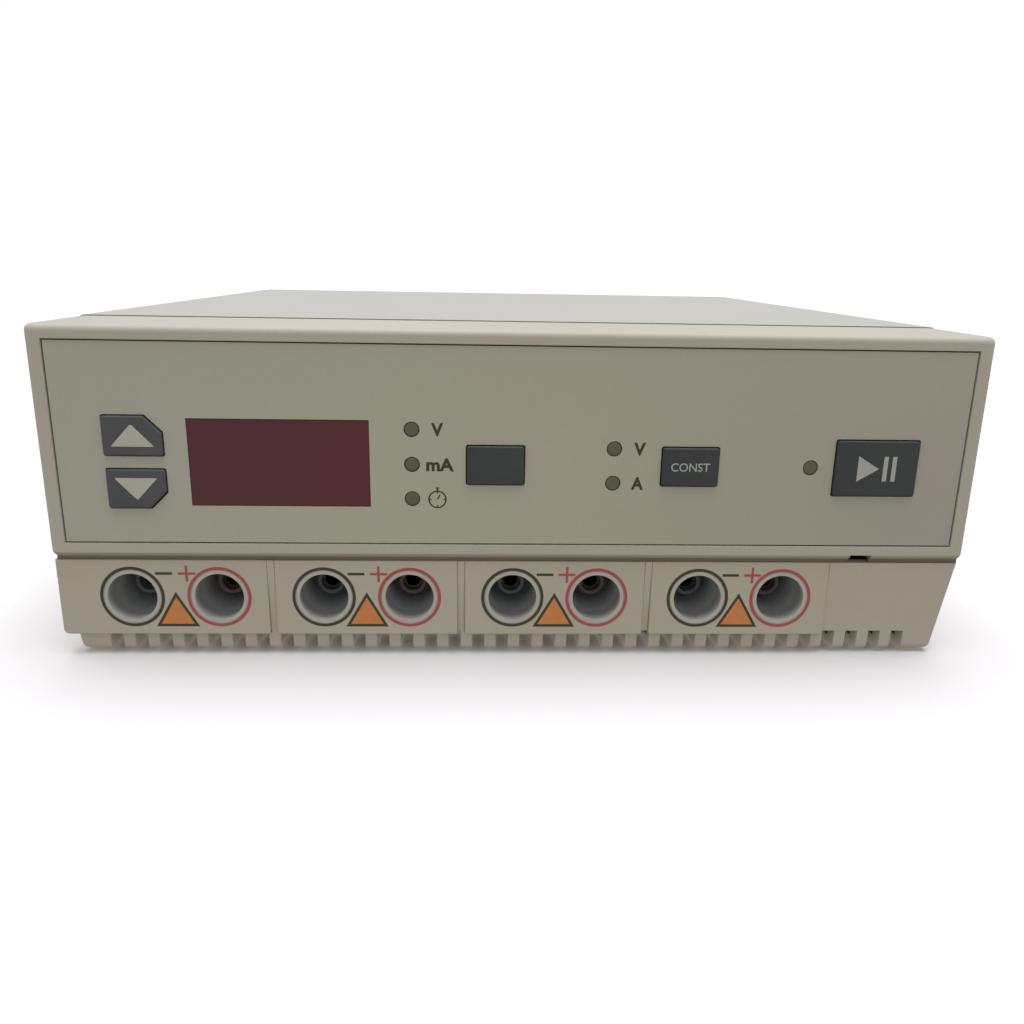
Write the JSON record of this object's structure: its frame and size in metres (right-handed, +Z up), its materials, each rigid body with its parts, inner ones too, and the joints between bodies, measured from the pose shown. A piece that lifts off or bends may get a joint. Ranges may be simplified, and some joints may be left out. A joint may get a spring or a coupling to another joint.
{
  "type": "electrophoresis power supply",
  "caption": "Low bench power supply with inset control panel, push keys, red display window and a row of recessed output sockets above a slotted skirt.",
  "frame": {"origin": "middle of the footprint, on the surface the feet stand on", "axes": "+X to the right seen from the front, +Y to the rear, +Z up"},
  "size_m": [0.235, 0.25, 0.0848],
  "materials": {
    "housing_beige": "fine matt grain",
    "cover_pale": "fine matt grain",
    "panel_olive": "satin printed film",
    "sleeve_grey": "satin",
    "socket_black": "satin",
    "socket_red": "satin",
    "contact_brass": "bright",
    "key_grey": "satin",
    "key_dark": "satin",
    "window_red": "polished",
    "led_lens": "diffused",
    "switch_black": "satin",
    "plunger_white": "satin",
    "board_green": "solder mask",
    "panel_metal": "satin paint",
    "steel": "zinc plated",
    "rubber": "matt",
    "aluminium": "satin",
    "ferrite": "matt",
    "winding_tape": "taped",
    "ribbon_grey": "satin",
    "lead_black": "satin",
    "lead_red": "satin",
    "fuse_glass": "clear"
  },
  "bodies": {
    "housing": {"base": "housing_beige", "board_headers": "switch_black", "board_screws": "steel", "bulk_capacitors": "aluminium", "bus_bar_negative": "contact_brass", "bus_bar_positive": "contact_brass", "chassis_screws": "steel", "contact_nuts": "contact_brass", "control_board": "board_green", "control_panel": "panel_olive", "digit_display": "switch_black", "display_window": "window_red", "fan_frame": "switch_black", "fan_screws": "steel", "filter_choke": "ferrite", "front_bezel": "housing_beige", "heat_sink": "aluminium", "housing_screws": "steel", "indicator_leds": "led_lens", "inlet_pins": "contact_brass", "inlet_socket": "switch_black", "jack_plate_1": "housing_beige", "jack_plate_2": "housing_beige", "jack_plate_3": "housing_beige", "jack_plate_4": "housing_beige", "jack_sleeves": "sleeve_grey", "main_board": "board_green", "mains_leads": "lead_black", "output_lead_negative": "lead_black", "output_lead_positive": "lead_red", "output_relays": "switch_black", "power_transistors": "switch_black", "rear_panel": "panel_metal", "rear_panel_screws": "steel", "ribbon_cable": "ribbon_grey", "rubber_feet": "rubber", "socket_contacts": "contact_brass", "sockets_negative": "socket_black", "sockets_positive": "socket_red", "switch_bezel": "switch_black", "tact_switches": "switch_black", "top_cover": "cover_pale", "transformer_bracket": "steel", "transformer_core": "ferrite", "transformer_windings": "winding_tape"},
    "key_up": {"key_up": "key_grey", "switch_plunger_up": "plunger_white"},
    "key_down": {"key_down": "key_grey", "switch_plunger_down": "plunger_white"},
    "key_select": {"key_select": "key_dark", "switch_plunger_select": "plunger_white"},
    "key_constant": {"key_constant": "key_dark", "switch_plunger_constant": "plunger_white"},
    "key_run": {"key_run": "key_dark", "switch_plunger_run": "plunger_white"},
    "rocker": {"rocker": "switch_black"},
    "fuse_drawer": {"fuse_drawer": "switch_black", "fuse": "fuse_glass"},
    "fan_rotor": {"fan_rotor": "switch_black"}
  },
  "joints": [
    {"name": "key_up_press", "type": "slide", "parent": "housing", "child": "key_up", "axis": [0, 1, 0], "range_m": [0, 0.0008], "stiffness_N_per_m": 900, "springref_m": -0.0004},
    {"name": "key_down_press", "type": "slide", "parent": "housing", "child": "key_down", "axis": [0, 1, 0], "range_m": [0, 0.0008], "stiffness_N_per_m": 900, "springref_m": -0.0004},
    {"name": "key_select_press", "type": "slide", "parent": "housing", "child": "key_select", "axis": [0, 1, 0], "range_m": [0, 0.0008], "stiffness_N_per_m": 900, "springref_m": -0.0004},
    {"name": "key_constant_press", "type": "slide", "parent": "housing", "child": "key_constant", "axis": [0, 1, 0], "range_m": [0, 0.0008], "stiffness_N_per_m": 900, "springref_m": -0.0004},
    {"name": "key_run_press", "type": "slide", "parent": "housing", "child": "key_run", "axis": [0, 1, 0], "range_m": [0, 0.0008], "stiffness_N_per_m": 900, "springref_m": -0.0004},
    {"name": "rocker_tilt", "type": "hinge", "parent": "housing", "child": "rocker", "pos_m": [0.034, 0.116, 0.051], "axis": [1, 0, 0], "range_deg": [0, 18]},
    {"name": "fuse_drawer_slide", "type": "slide", "parent": "housing", "child": "fuse_drawer", "axis": [0, 1, 0], "range_m": [0, 0.02]},
    {"name": "fan_spin", "type": "hinge", "parent": "housing", "child": "fan_rotor", "pos_m": [-0.065, 0.1095, 0.045], "axis": [0, 1, 0], "continuous": true}
  ]
}
